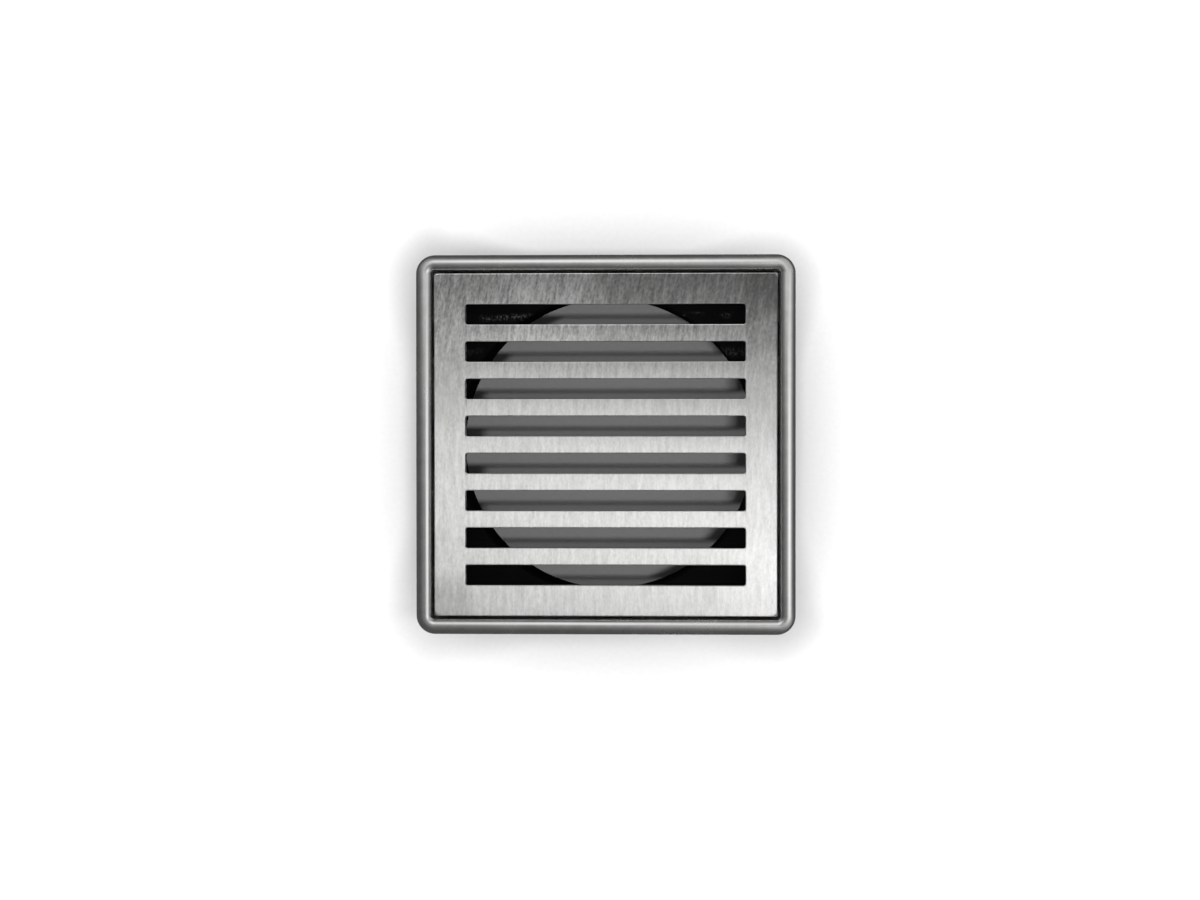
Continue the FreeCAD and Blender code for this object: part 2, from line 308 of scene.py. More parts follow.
# Segments of the square and round loops, which match point for point
CORNER_STEPS, SIDE_STEPS = 14, 44
CORNER_SPREAD = math.radians(7)     # half the angle a corner's points take up on a round loop


# ------------------------------------------------------------------ mesh kit
def add_object(name, mesh, material, body, sharp):
    """A smooth-shaded object from (vertices in mm, faces); edges over `sharp` degrees stay crisp."""
    verts, faces = mesh
    data = bpy.data.meshes.new(name)
    data.from_pydata((np.asarray(verts, float) * MM).tolist(), [], faces)
    data.validate()
    bm = bmesh.new()
    bm.from_mesh(data)
    bmesh.ops.remove_doubles(bm, verts=bm.verts, dist=1e-7)
    bmesh.ops.recalc_face_normals(bm, faces=bm.faces)
    bm.to_mesh(data)
    bm.free()
    data.polygons.foreach_set("use_smooth", [True] * len(data.polygons))
    data.set_sharp_from_angle(angle=math.radians(sharp))
    data.materials.append(material)
    ob = bpy.data.objects.new(name, data)
    scene.collection.objects.link(ob)
    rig.ride(ob, body)
    return ob


def add_piece(node, mesh, material, body, sharp):
    """An object that takes the place of the CAD piece `node`."""
    ob = add_object(node + "_visual", mesh, material, body, sharp)
    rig.replaces(ob, node)
    return ob


def loft(loops, closed=True):
    """Quads between successive loops of equal length."""
    size, count = len(loops[0]), len(loops)
    faces = []
    for i in range(count if closed else count - 1):
        near, far = i * size, ((i + 1) % count) * size
        for j in range(size):
            k = (j + 1) % size
            faces.append((near + j, near + k, far + k, far + j))
    return np.concatenate(loops), faces


def capped(loops):
    """An open loft with a face across each end."""
    verts, faces = loft(loops, closed=False)
    size = len(loops[0])
    faces.append(tuple(range(size)))
    faces.append(tuple(range(len(verts) - size, len(verts))))
    return verts, faces


def merge(meshes):
    verts, faces, start = [], [], 0
    for part_verts, part_faces in meshes:
        verts.append(part_verts)
        faces += [tuple(start + i for i in face) for face in part_faces]
        start += len(part_verts)
    return np.concatenate(verts), faces


def rounded(half, radius, z, half_y=None, corner_steps=CORNER_STEPS, side_steps=SIDE_STEPS,
            at=(0, 0)):
    """Rounded rectangle; with the default steps it is in step with ring()."""
    hx, hy = half, half if half_y is None else half_y
    signs = [(1, 1), (-1, 1), (-1, -1), (1, -1)]

    def on_corner(corner, angle):
        sx, sy = signs[corner % 4]
        return (sx * (hx - radius) + radius * math.cos(angle),
                sy * (hy - radius) + radius * math.sin(angle))

    points = []
    for corner in range(4):
        for i in range(corner_steps + 1):
            points.append(on_corner(corner, math.pi / 2 * (corner + i / corner_steps)))
        start = points[-1]
        end = on_corner(corner + 1, math.pi / 2 * (corner + 1))
        for i in range(1, side_steps):
            t = i / side_steps
            points.append((start[0] + (end[0] - start[0]) * t,
                           start[1] + (end[1] - start[1]) * t))
    return np.array([(x + at[0], y + at[1], z) for x, y in points])


def matching_angles():
    """Angles that put a round loop in step with rounded()."""
    angles = []
    side = math.pi / 2 - 2 * CORNER_SPREAD
    for corner in range(4):
        middle = math.pi / 2 * corner + math.pi / 4
        for i in range(CORNER_STEPS + 1):
            angles.append(middle - CORNER_SPREAD + 2 * CORNER_SPREAD * i / CORNER_STEPS)
        for i in range(1, SIDE_STEPS):
            angles.append(middle + CORNER_SPREAD + side * i / SIDE_STEPS)
    return np.array(angles)


MATCHING = matching_angles()


def even_angles(count):
    return np.arange(count) * 2 * math.pi / count


def ring(radius, z, angles=MATCHING, at=(0, 0)):
    radius = np.broadcast_to(np.asarray(radius, float), angles.shape)
    return np.stack([at[0] + radius * np.cos(angles), at[1] + radius * np.sin(angles),
                     np.full(angles.shape, float(z))], 1)


def rings(profile):
    return [ring(radius, z) for radius, z in profile]


def squares(profile, corner):
    """Square loops whose corners all turn about the same centre."""
    return [rounded(half, half - corner, z) for half, z in profile]


def arc(x, z, radius, start, end, steps):
    """Points of a profile arc, from one angle to another in degrees."""
    angles = [math.radians(start + (end - start) * i / steps) for i in range(steps + 1)]
    return [(x + radius * math.cos(a), z + radius * math.sin(a)) for a in angles]


def lathe(profile, steps, at=(0, 0)):
    """A closed profile of (radius, z) turned about a vertical axis."""
    angles = even_angles(steps)
    return loft([ring(radius, z, angles, at) for radius, z in profile])


def thread_height(theta, z, grow=0.0, ends=True):
    """How far the right-hand ridge stands out of its root. grow widens it on each flank."""
    phi = np.mod(theta - THREAD_START, 2 * math.pi)
    turn = np.round((z - THREAD_Z) / THREAD_PITCH - phi / (2 * math.pi))
    total = 2 * math.pi * turn + phi
    away = np.abs(z - (THREAD_Z + THREAD_PITCH * total / (2 * math.pi)))
    height = np.clip((THREAD_BASE / 2 + grow - away) / THREAD_SLOPE, 0, THREAD_RISE)
    if ends:
        run_out = math.radians(2.5)
        left = 2 * math.pi * THREAD_TURNS - total
        height = height * (np.clip(total / run_out, 0, 1) * np.clip(left / run_out, 0, 1))
    return height


# ---------------------------------------------------------------- shader kit
class Signal:
    """A node's output; each sum, product or ramp of it adds one node."""

    def __init__(self, kit, socket):
        self.kit = kit
        self.socket = socket

    def __add__(self, other):
        return self.kit.math("ADD", self, other)

    def __radd__(self, other):
        return self.kit.math("ADD", other, self)

    def __sub__(self, other):
        return self.kit.math("SUBTRACT", self, other)

    def __rsub__(self, other):
        return self.kit.math("SUBTRACT", other, self)

    def __mul__(self, other):
        return self.kit.math("MULTIPLY", self, other)

    def __truediv__(self, other):
        return self.kit.math("DIVIDE", self, other)

    def __abs__(self):
        return self.kit.math("ABSOLUTE", self)

    def eased(self, over, to=(0.0, 1.0), kind="SMOOTHSTEP"):
        """Goes from to[0] to to[1] as the signal goes from over[0] to over[1]."""
        return self.kit.add("MapRange", {"Value": self, "From Min": over[0], "From Max": over[1],
                                         "To Min": to[0], "To Max": to[1]},
                            output="Result", interpolation_type=kind)

    def linear(self, over, to=(0.0, 1.0)):
        return self.eased(over, to, "LINEAR")

    def curve(self, points):
        """Straight lines through the points (value, result), results between 0 and 1."""
        low, high = points[0][0], points[-1][0]
        fraction = (self - low) * (1 / (high - low))
        node = self.kit.node("ValToRGB", {"Fac": fraction})
        stops = node.color_ramp.elements
        for i, (value, result) in enumerate(points):
            place = (value - low) / (high - low)
            if i in (0, len(points) - 1):
                stop = stops[-1 if i else 0]
            else:
                stop = stops.new(place)
            stop.position = place
            stop.color = (result, result, result, 1)
        return Signal(self.kit, node.outputs["Color"])


class Kit:
    """Adds nodes to one node tree."""

    def __init__(self, tree):
        self.tree = tree

    def feed(self, socket, value):
        """Links a signal to the socket, or sets its value; colours are given without alpha."""
        if isinstance(value, Signal):
            self.tree.links.new(value.socket, socket)
        elif socket.type == "RGBA":
            socket.default_value = (*value, 1)
        else:
            socket.default_value = value

    def node(self, kind, inputs=None, **settings):
        node = self.tree.nodes.new("ShaderNode" + kind)
        for key, value in settings.items():
            setattr(node, key, value)
        for key, value in (inputs or {}).items():
            self.feed(node.inputs[key], value)
        return node

    def add(self, kind, inputs=None, output=0, **settings):
        return Signal(self, self.node(kind, inputs, **settings).outputs[output])

    @cached_property
    def position(self):
        return self.add("TexCoord", output="Object")

    @cached_property
    def normal(self):
        return self.add("NewGeometry", output="Normal")

    def math(self, operation, *values, clamp=False):
        return self.add("Math", dict(enumerate(values)), operation=operation, use_clamp=clamp)

    def vector(self, x, y, z):
        return self.add("CombineXYZ", {0: x, 1: y, 2: z})

    def split(self, vector):
        node = self.node("SeparateXYZ", {0: vector})
        return [Signal(self, socket) for socket in node.outputs]

    def turned(self, degrees):
        """Object coordinates turned about Z."""
        return self.add("VectorRotate", {"Vector": self.position, "Angle": math.radians(degrees)},
                        rotation_type="Z_AXIS")

    def noise(self, scale, shift=(0, 0, 0), detail=2.0, rough=0.5, distort=0.0, of=None):
        """Noise of `scale` cells per metre, one number or one for each axis."""
        if not isinstance(scale, tuple):
            scale = (scale,) * 3
        mapped = self.add("Mapping", {"Vector": of or self.position, "Scale": scale,
                                      "Location": shift})
        return self.add("TexNoise", {"Vector": mapped, "Scale": 1.0, "Detail": detail,
                                     "Roughness": rough, "Distortion": distort}, output="Fac")

    def mix(self, factor, first, second):
        # inputs 6 and 7 and output 2 are the colour sockets
        return self.add("Mix", {0: factor, 6: first, 7: second}, output=2, data_type="RGBA")

    def bump(self, height, distance, strength):
        return self.add("Bump", {"Height": height, "Distance": distance, "Strength": strength})

    def surface(self, inputs):
        """Sets inputs of the Principled shader."""
        shader = self.tree.nodes["Principled BSDF"]
        for key, value in inputs.items():
            self.feed(shader.inputs[key], value)

    def length(self, x, y):
        return self.math("SQRT", x * x + y * y)

    def from_corner(self, across, along):
        """Distance outward from the square through the bezel's corner centres."""
        corner = BEZEL_CORNER * MM
        return self.length(self.math("MAXIMUM", across - corner, 0.0),
                           self.math("MAXIMUM", along - corner, 0.0))


def new_material(name):
    material = bpy.data.materials.new(name)
    material.use_nodes = True
    return material, Kit(material.node_tree)


# ----------------------------------------------------------------- materials
def painted_plate_light(kit, x, y):
    """Painted reflected light and shade: darker patches at the back, front left, left and right, and lighter ones at
    the front right and back middle, where the plate reflects less or more light; a factor that is 1 on the plain metal.
    """
    back_middle = (abs(x + 0.0145).eased(over=(0.018, 0.006))
                   * y.eased(over=(0.024, 0.030), to=(0.0, 0.17)))
    back = x.eased(over=(-0.009, 0.001)) * y.eased(over=(0.034, 0.041), to=(0.0, 0.24))
    right = x.eased(over=(0.036, 0.043)) * y.eased(over=(0.023, 0.030), to=(0.0, 0.17))
    left = (x.eased(over=(-0.036, -0.043))
            * abs(y - 0.0155).eased(over=(0.013, 0.006), to=(0.0, 0.10)))
    front_right = x.eased(over=(0.028, 0.045)) * y.eased(over=(-0.022, -0.032), to=(0.0, 0.10))
    front_left = x.eased(over=(-0.033, -0.043)) * y.eased(over=(-0.034, -0.043), to=(0.0, 0.18))
    return 1.0 + (front_right - front_left) + back_middle - (back + right + left)


def plate_material():
    material, kit = new_material("brushed_plate")
    x, y, z = kit.split(kit.position)
    # the brush runs along Y, and its lines curve away in X behind lean_from
    lean_from, lean_rate = 0.012, 2.8
    behind = kit.math("MAXIMUM", y - lean_from, 0.0)
    brushed = kit.vector(x - behind * behind * lean_rate, y, z)
    fine = kit.noise((1600, 800, 500), detail=3, rough=0.7, of=brushed)
    medium = kit.noise((820, 130, 300), shift=(3.1, 0, 0), detail=3, rough=0.65, of=brushed)
    broad = kit.noise((240, 34, 60), shift=(9.7, 2, 0), of=brushed)
    cloud = kit.noise((70, 55, 70), detail=3, rough=0.55)
    streak = fine * 0.45 + medium * 0.55
    # stray scratches at two angles to the brush
    scratch_1 = kit.noise((1500, 75, 200), rough=0.55, of=kit.turned(24))
    scratch_2 = kit.noise((1900, 60, 200), shift=(5, 1, 0), rough=0.55, of=kit.turned(-17))
    scratches = scratch_1.eased(over=(0.60, 0.78)) + scratch_2.eased(over=(0.63, 0.80))
    # 1 on the flat faces, 0 on the cut edges
    flat = abs(kit.split(kit.normal)[2]).eased(over=(0.55, 0.9))
    # streaks are stronger towards the back; the grain is real, but its fading towards the front right is painted light,
    # where the brightest reflected light washes it out
    contrast = (y.eased(over=(lean_from, 0.044), to=(1.0, 2.9))
                * x.eased(over=(-0.04, 0.03), to=(1.3, 1.15)))
    tone = (streak.linear(over=(0.25, 0.75), to=(-0.24, 0.24))
            + broad.linear(over=(0.3, 0.7), to=(-0.02, 0.02)))
    # painted light and shade: the plate's colour is multiplied by the painted patches
    tone = (tone * contrast + 0.995) * painted_plate_light(kit, x, y)
    face_colour = kit.mix(kit.math("SUBTRACT", tone, 0.5, clamp=True),
                          (0.30, 0.30, 0.295), (0.92, 0.92, 0.905))
    edge_colour = kit.mix(kit.noise((900, 900, 40)).eased(over=(0.3, 0.7)),
                          (0.36, 0.355, 0.345), (0.48, 0.475, 0.46))
    height = fine * 0.35 + medium * 0.5 + scratches * -0.35 + cloud * 0.8
    kit.surface({
        "Base Color": kit.mix(flat, edge_colour, face_colour),
        "Metallic": 1.0,
        "Roughness": (streak.linear(over=(0.3, 0.7), to=(0.279, 0.297)) + cloud * 0.01
                      + (1.0 - flat) * 0.12),
        "Anisotropic": 0.99,
        "Tangent": kit.vector(1.0, 0.0, 0.0),
        "Normal": kit.bump(height, distance=0.000012, strength=0.8)})
    return material


def bezel_material():
    material, kit = new_material("satin_bezel")
    x, y, z = kit.split(kit.position)
    across, along = abs(x), abs(y)
    # fine drawing lines follow each side
    on_x_sides = (across - along).eased(over=(-0.004, 0.004))
    lines_y = kit.noise((2600, 40, 2600), detail=3, rough=0.6)
    lines_x = kit.noise((40, 2600, 2600), shift=(4, 0, 0), detail=3, rough=0.6)
    lines = lines_y * on_x_sides + lines_x * (1.0 - on_x_sides)
    mottle = kit.noise(330, detail=4, rough=0.6)
    wide = kit.noise((45, 45, 60))
    tone = (lines.linear(over=(0.3, 0.7), to=(0.44, 0.56))
            + mottle.linear(over=(0.3, 0.7), to=(-0.05, 0.05)))
    # the outer skirt is matt and scatters the light of the floor
    skirt = (kit.from_corner(across, along).eased(over=(0.0038, 0.0045))
             * z.eased(over=(0.0293, 0.0264)))
    kit.surface({
        "Base Color": kit.mix(tone, (0.36, 0.36, 0.353), (0.86, 0.86, 0.845)),
        "Metallic": 1.0 - skirt * 0.26,
        "Roughness": (mottle.linear(over=(0.3, 0.7), to=(0.215, 0.265))
                      + wide.linear(over=(0.3, 0.7), to=(-0.02, 0.03))),
        "Normal": kit.bump(lines * 0.5 + mottle * 0.8, distance=0.000012, strength=0.7)})
    return material


def moulded_base(kit, dark, light, roughness):
    """Grain and roughness of moulded plastic; returns its colour."""
    grain = kit.noise(5200, rough=0.6)
    flow = kit.noise((60, 60, 25), detail=4, rough=0.6, distort=0.6)
    dust = kit.noise(900, shift=(3, 3, 3), detail=5, rough=0.7)
    kit.surface({
        "Roughness": (flow.linear(over=(0.3, 0.7), to=(roughness - 0.05, roughness + 0.05))
                      + dust.linear(over=(0.5, 0.8), to=(0.0, 0.12))),
        "Normal": kit.bump(grain, distance=0.00003, strength=0.35)})
    blend = flow.eased(over=(0.3, 0.7)) * 0.6 + dust.eased(over=(0.5, 0.75)) * 0.4
    return kit.mix(blend, dark, light)


def moulded_material(name, dark, light, roughness, specular):
    material, kit = new_material(name)
    kit.surface({"Base Color": moulded_base(kit, dark, light, roughness),
                 "Specular IOR Level": specular})
    return material


def tray_material():
    material, kit = new_material("moulded_tray")
    plain = moulded_base(kit, dark=(0.0026, 0.0026, 0.0028), light=(0.0050, 0.0050, 0.0053),
                         roughness=0.52)
    x, y, _ = kit.split(kit.position)
    up = kit.split(kit.normal)[2]
    # the bore doesn't shine and the upward faces shine less
    bore, specular = 0.0428, 0.18
    shine = (kit.length(x, y).eased(over=(bore, bore + 0.0006))
             * up.eased(over=(0.9, 0.5), to=(0.25, 1.0)))
    # painted light: grey specks in two strips of the tray floor, under the two back slots, where light falls in through
    # the slots; the further one slightly askew
    speck = kit.noise((1500, 1100, 1100), shift=(7, 1, 4), detail=4, rough=0.75)
    patch = kit.noise((110, 260, 110), shift=(2, 6, 1))
    askew = 0.0366 + x * 0.0085
    lit_strips = (abs(y - askew).eased(over=(0.0014, 0.0003))
              * abs(x).eased(over=(0.0372, 0.0345))
              + abs(y - 0.0264).eased(over=(0.0018, 0.0004), to=(0.0, 0.35)))
    painted_slot_light = (speck.eased(over=(0.46, 0.63)) * patch.eased(over=(0.32, 0.52))
            * (lit_strips * up.eased(over=(0.5, 0.9))))
    # painted shade: the upward faces, among them the tray floor under the plate, are darker, standing in for the shade
    # under the plate
    upward_painted_shade = kit.mix(up.eased(over=(0.5, 0.9), to=(0.0, 0.7)), plain, (0.0008, 0.0008, 0.0009))
    # base colour: the painted slot light over the painted shade of the moulded black
    kit.surface({"Base Color": kit.mix(painted_slot_light, upward_painted_shade, (0.080, 0.080, 0.078)),
                 "Specular IOR Level": shine * specular})
    return material


def rubber_material(name, dark, light):
    material, kit = new_material(name)
    bloom = kit.noise(120, detail=4, rough=0.65, distort=0.4)
    pore = kit.noise(3000, detail=3, rough=0.6)
    kit.surface({
        "Base Color": kit.mix(bloom.eased(over=(0.35, 0.75)), dark, light),
        "Roughness": bloom.linear(over=(0.3, 0.7), to=(0.62, 0.8)),
        "Specular IOR Level": 0.3,
        "Normal": kit.bump(pore, distance=0.00002, strength=0.4)})
    return material


def steel_material(name, stained, clean, roughness, grain):
    material, kit = new_material(name)
    marks = kit.noise(grain, detail=3, rough=0.6)
    stain = kit.noise(400, shift=(1, 5, 2), detail=4, rough=0.6)
    kit.surface({
        "Base Color": kit.mix(stain.eased(over=(0.3, 0.75)), clean, stained),
        "Metallic": 1.0,
        "Roughness": (marks.linear(over=(0.3, 0.7), to=(roughness - 0.06, roughness + 0.06))
                      + stain.linear(over=(0.5, 0.8), to=(0.0, 0.1))),
        "Normal": kit.bump(marks, distance=0.00001, strength=0.5)})
    return material


PLATE_METAL = plate_material()
BEZEL_METAL = bezel_material()
TRAY_PLASTIC = tray_material()
RING_PLASTIC = moulded_material("moulded_ring", dark=(0.020, 0.020, 0.022),
                                light=(0.032, 0.032, 0.034), roughness=0.48, specular=0.4)
SLIP_PLASTIC = moulded_material("acetal_slip", dark=(0.66, 0.66, 0.63),
                                light=(0.76, 0.76, 0.73), roughness=0.4, specular=0.4)
SEAL_RUBBER = rubber_material("epdm_rubber", dark=(0.014, 0.014, 0.014),
                              light=(0.035, 0.035, 0.034))
PAD_RUBBER = rubber_material("pad_rubber", dark=(0.030, 0.030, 0.030),
                             light=(0.060, 0.060, 0.058))
FASTENER_STEEL = steel_material("fastener_steel", stained=(0.42, 0.41, 0.39),
                                clean=(0.62, 0.615, 0.60), roughness=0.3, grain=900)
SPRING_STEEL = steel_material("spring_steel", stained=(0.40, 0.39, 0.37),
                              clean=(0.60, 0.59, 0.57), roughness=0.26, grain=(60, 2400, 2400))


# --------------------------------------------------------------- bezel frame
def build_bezel():
    """Pressed sheet: outer skirt, rounded bead, and a ledge that reaches inward."""
    bead_x, bead_z = BEZEL - BEAD, Z_CREST - BEAD
    tip_r, hem_r, inner_r, outer_r = 0.15, 0.2, 0.45, 1.1    # profile radii
    # upper and outer side, from the foot of the skirt over the bead to the ledge
    profile = [(BEZEL, z) for z in (23.22, 24.5, 26.5, 28.2)]
    profile += arc(bead_x, bead_z, BEAD, 0, 180, 36)
    profile += [(BEZEL_INNER, 28.2), (BEZEL_INNER, 27.2)]
    profile += arc(BEZEL_INNER - inner_r, Z_LEDGE_TOP + inner_r, inner_r, 0, -90, 4)
    profile += [(48.0, Z_LEDGE_TOP), (45.0, Z_LEDGE_TOP)]
    profile += arc(LEDGE_TIP + tip_r, Z_LEDGE_TOP - tip_r, tip_r, 90, 180, 4)
    # underside, from the tip of the ledge back to the foot of the skirt
    profile += arc(LEDGE_TIP + tip_r, Z_LEDGE_LOW + tip_r, tip_r, 180, 270, 4)
    profile += [(46.5, Z_LEDGE_LOW), (48.6, Z_LEDGE_LOW)]
    profile += arc(BEZEL_INNER + SHEET - outer_r, Z_LEDGE_LOW + outer_r, outer_r, -90, 0, 8)
    profile += [(BEZEL_INNER + SHEET, 28.4)]
    profile += arc(bead_x, bead_z, BEAD - SHEET, 180, 0, 24)
    profile += [(BEZEL - SHEET, 27.5), (BEZEL - SHEET, 25.0)]
    profile += arc(BEZEL - SHEET + hem_r, Z_SKIRT + hem_r, hem_r, 180, 270, 4)
    profile += arc(BEZEL - hem_r, Z_SKIRT + hem_r, hem_r, 270, 360, 4)

    def corner_radius(half):
        if half >= BEZEL_INNER:
            return half - BEZEL_CORNER
        # along the ledge the corners open out again, from 0.8 to 3.0 at the tip
        share = (BEZEL_INNER - half) / (BEZEL_INNER - LEDGE_TIP)
        return 0.8 + share * (3.0 - 0.8)

    loops = [rounded(half, corner_radius(half), z) for half, z in profile]
    add_piece("bezel_frame", loft(loops), BEZEL_METAL, "frame", sharp=40)


# --------------------------------------------------------------- grate plate
def plate_walls():
    """Loops of the outer edge and of each slot, from the top face down."""
    top_round, low_chamfer = 0.30, 0.10
    # (how far the outline moves into the metal, z)
    steps = [(top_round * (1 - math.sin(t)), Z_PLATE_TOP - top_round * (1 - math.cos(t)))
             for t in np.linspace(0, math.pi / 2, 6)]
    steps += [(0.0, 29.3), (0.0, 28.6)]
    steps += [(0.0, Z_PLATE_LOW + low_chamfer), (low_chamfer, Z_PLATE_LOW)]
    walls = [[rounded(PLATE - g, PLATE_R - g, z, corner_steps=10, side_steps=36)
              for g, z in steps]]
    for i in range(SLOTS):
        y = (i - (SLOTS - 1) / 2) * SLOT_PITCH
        walls.append([rounded(SLOT_LENGTH / 2 + g, SLOT_R + g, z, half_y=SLOT_WIDTH / 2 + g,
                              corner_steps=8, side_steps=28, at=(0, y)) for g, z in steps])
    return walls


def build_plate():
    walls = plate_walls()
    top_rims, low_rims, start = [], [], 0
    for loops in walls:
        size, total = len(loops[0]), len(loops[0]) * len(loops)
        top_rims.append(range(start, start + size))
        low_rims.append(range(start + total - size, start + total))
        start += total
    verts, faces = merge([loft(loops, closed=False) for loops in walls])
    work = bpy.data.meshes.new("plate_work")
    work.from_pydata(verts.tolist(), [], faces)
    bm = bmesh.new()
    bm.from_mesh(work)
    bm.verts.ensure_lookup_table()
    # fill the top and bottom faces between the outer edge and the slots
    for rims in (top_rims, low_rims):
        edges = [bm.edges.get((bm.verts[rim[i]], bm.verts[rim[(i + 1) % len(rim)]]))
                 for rim in rims for i in range(len(rim))]
        bmesh.ops.triangle_fill(bm, use_beauty=True, use_dissolve=False, edges=edges)
    bmesh.ops.recalc_face_normals(bm, faces=bm.faces)
    bm.verts.index_update()
    mesh = ([tuple(vert.co) for vert in bm.verts],
            [[vert.index for vert in face.verts] for face in bm.faces])
    bm.free()
    bpy.data.meshes.remove(work)
    ob = add_piece("grate_plate", mesh, PLATE_METAL, "grate", sharp=50)
    weighted = ob.modifiers.new("face_weighted", "WEIGHTED_NORMAL")
    weighted.keep_sharp = True
    weighted.weight = 100


# ---------------------------------------------------------------- riser body
def build_riser():
    """Round throat and collar that open into a square tray."""
    mouth_r, under_r, wall_r = 1.1, 0.4, 0.3     # profile radii
    # up the throat to the tray floor
    loops = rings([(42.56, 0.0), (42.52, 0.03), (THROAT, 0.08)])
    loops += rings([(THROAT, z) for z in (3, 6, 9, 12, 15, 18, 20.5)])
    loops += rings(arc(THROAT + mouth_r, Z_TRAY_FLOOR - mouth_r, mouth_r, 180, 90, 7))
    # the step up to the seat
    loops += squares(arc(45.0, 24.0, 0.5, -90, 0, 4) + arc(45.75, 24.75, 0.25, 180, 90, 4),
                     TRAY_CORNER_IN)
    # the seat, the rib round it, the outer wall and its inside
    profile = [(50.8, Z_SEAT), (51.0, 25.2), (51.0, 27.3), (51.3, 27.6), (52.1, 27.6),
               (52.4, 27.3), (52.4, Z_SEAT), (52.5, 24.9), (52.5, 21.0)]
    profile += arc(52.5 - wall_r, Z_TRAY_WALL + wall_r, wall_r, 0, -90, 4)
    profile += [(51.0, Z_TRAY_WALL), (50.8, 17.06), (50.7, 17.3)]
    profile += arc(50.7 - under_r, Z_TRAY_UNDER - under_r, under_r, 0, 90, 4)
    loops += squares(profile, TRAY_CORNER_OUT)
    # down the thread
    loops += rings([(46.5, Z_TRAY_UNDER), (46.1, 20.95)])
    for z in np.arange(20.9, 11.59, -0.1):
        loops.append(ring(ROOT + thread_height(MATCHING, z), z))
    # down the collar, with the groove of the spigot seal
    loops += rings([(45.85, 11.5), (45.05, 10.75), (COLLAR, 10.6), (COLLAR, 8.75),
                    (44.85, 8.6), (43.95, 8.6), (43.8, 8.45), (43.8, 6.35), (43.95, 6.2),
                    (44.85, 6.2), (COLLAR, 6.05), (COLLAR, 3.5), (COLLAR, 0.85),
                    (44.9, 0.7), (44.3, 0.1), (44.15, 0.0)])
    add_piece("riser_body", loft(loops), TRAY_PLASTIC, "frame", sharp=35)


def boss_web(degrees):
    """A thin web on the diagonal, at the side of the boss nearer the axis."""
    angle = math.radians(degrees)
    outward = np.array([math.cos(angle), math.sin(angle)])
    sideways = np.array([-outward[1], outward[0]])
    middle, half_length = 56.8, 5.4
    loops = []
    for half, z in [(0.70, 19.35), (0.80, 19.5), (0.85, 20.4), (1.05, 21.05)]:
        shorter = 0.1 if z < 19.4 else 0.0
        base = rounded(half_length - shorter, min(0.4, half * 0.8), 0, half_y=half,
                       corner_steps=4, side_steps=6)
        loops.append(np.array([(*(outward * (middle + p[0]) + sideways * p[1]), z)
                               for p in base]))
    return capped(loops)


def build_riser_bosses():
    """A boss round each stud, under the tray."""
    profile = [(1.7, 20.2), (4.1, 20.2), (4.3, 20.35), (4.36, 20.8), (4.6, 21.06), (1.7, 21.06)]
    for i, (corner, at) in enumerate(zip(CORNERS, STUDS)):
        mesh = merge([lathe(profile, 64, at), boss_web(45 + 90 * i)])
        ob = add_object("riser_boss_" + corner, mesh, TRAY_PLASTIC, "frame", sharp=40)
        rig.slot(ob, "tray_plastic")


# ------------------------------------------------------------------ fasteners
def stud(at):
    angles = even_angles(40)
    bottom, thread_top = 16.6, 20.5
    core_r = 0.35    # radius of the flat at each end

    loops = [ring(core_r, bottom, angles, at), ring(1.05, 16.62, angles, at)]
    for z in np.arange(16.7, 20.4, 0.0625):
        phase = np.mod((z / STUD_PITCH) - angles / (2 * math.pi), 1.0)
        height = np.abs(phase - 0.5) * 2
        radius = 1.22 + 0.27 * np.clip(1.25 * height - 0.1, 0, 1)
        lead_in = 1.1 + (z - bottom) * 0.9
        loops.append(ring(np.minimum(radius, lead_in), z, angles, at))
    loops += [ring(STUD_R, z, angles, at) for z in (thread_top, 25.2, Z_LEDGE_LOW)]
    loops.append(ring(core_r, Z_LEDGE_LOW, angles, at))
    return capped(loops)


def washer(at):
    profile = [(1.62, 19.76), (1.68, 19.70), (3.38, 19.70), (3.47, 19.74), (3.5, 19.8),
               (3.5, 20.1), (3.42, 20.2), (1.68, 20.2), (1.62, 20.14)]
    return lathe(profile, 72, at)


def nut(at):
    angles = even_angles(144)
    flat = 2.75    # from the axis to a flat
    hexagon = flat / np.cos(np.mod(angles + math.pi / 6, math.pi / 3) - math.pi / 6)
    hexagon = np.minimum(hexagon, 3.14)
    # chamfer at both ends: (distance from the end, radius that cuts the corners)
    chamfer = [(0.0, 2.62), (0.06, 2.76), (0.14, 2.9), (0.22, 3.04), (0.3, 3.2)]
    levels = [(NUT_LOW + d, cut) for d, cut in chamfer]
    levels += [((NUT_LOW + NUT_TOP) / 2, 9)]
    levels += [(NUT_TOP - d, cut) for d, cut in reversed(chamfer)]
    loops = [ring(np.minimum(hexagon, cut), z, angles, at) for z, cut in levels]
    bore = [(1.75, NUT_TOP), (STUD_R, NUT_TOP - 0.22), (STUD_R, NUT_LOW + 0.22), (1.75, NUT_LOW)]
    loops += [ring(radius, z, angles, at) for radius, z in bore]
    return loft(loops)


def build_fasteners():
    for node, shape, sharp in [("bezel_studs", stud, 50), ("stud_washers", washer, 50),
                               ("stud_nuts", nut, 22)]:
        add_piece(node, merge([shape(at) for at in STUDS]), FASTENER_STEEL, "frame", sharp)


# ----------------------------------------------------------- seals and pads
def build_gasket():
    """Flat square gasket between the tray's seat and the bezel's ledge."""
    profile = [(45.62, 25.06), (45.68, Z_SEAT), (50.22, Z_SEAT), (50.29, 25.08),
               (50.29, 25.5), (50.22, Z_LEDGE_LOW), (45.68, Z_LEDGE_LOW), (45.62, 25.52)]
    loops = [rounded(half, 3.0 if half < 47 else 1.7, z) for half, z in profile]
    add_piece("bezel_gasket", loft(loops), SEAL_RUBBER, "frame", sharp=60)


def build_seal():
    """O-ring in the groove of the collar."""
    add_piece("spigot_seal", lathe(arc(44.7, 7.4, 0.9, 0, 360, 28)[:-1], 240), SEAL_RUBBER,
              "frame", sharp=80)


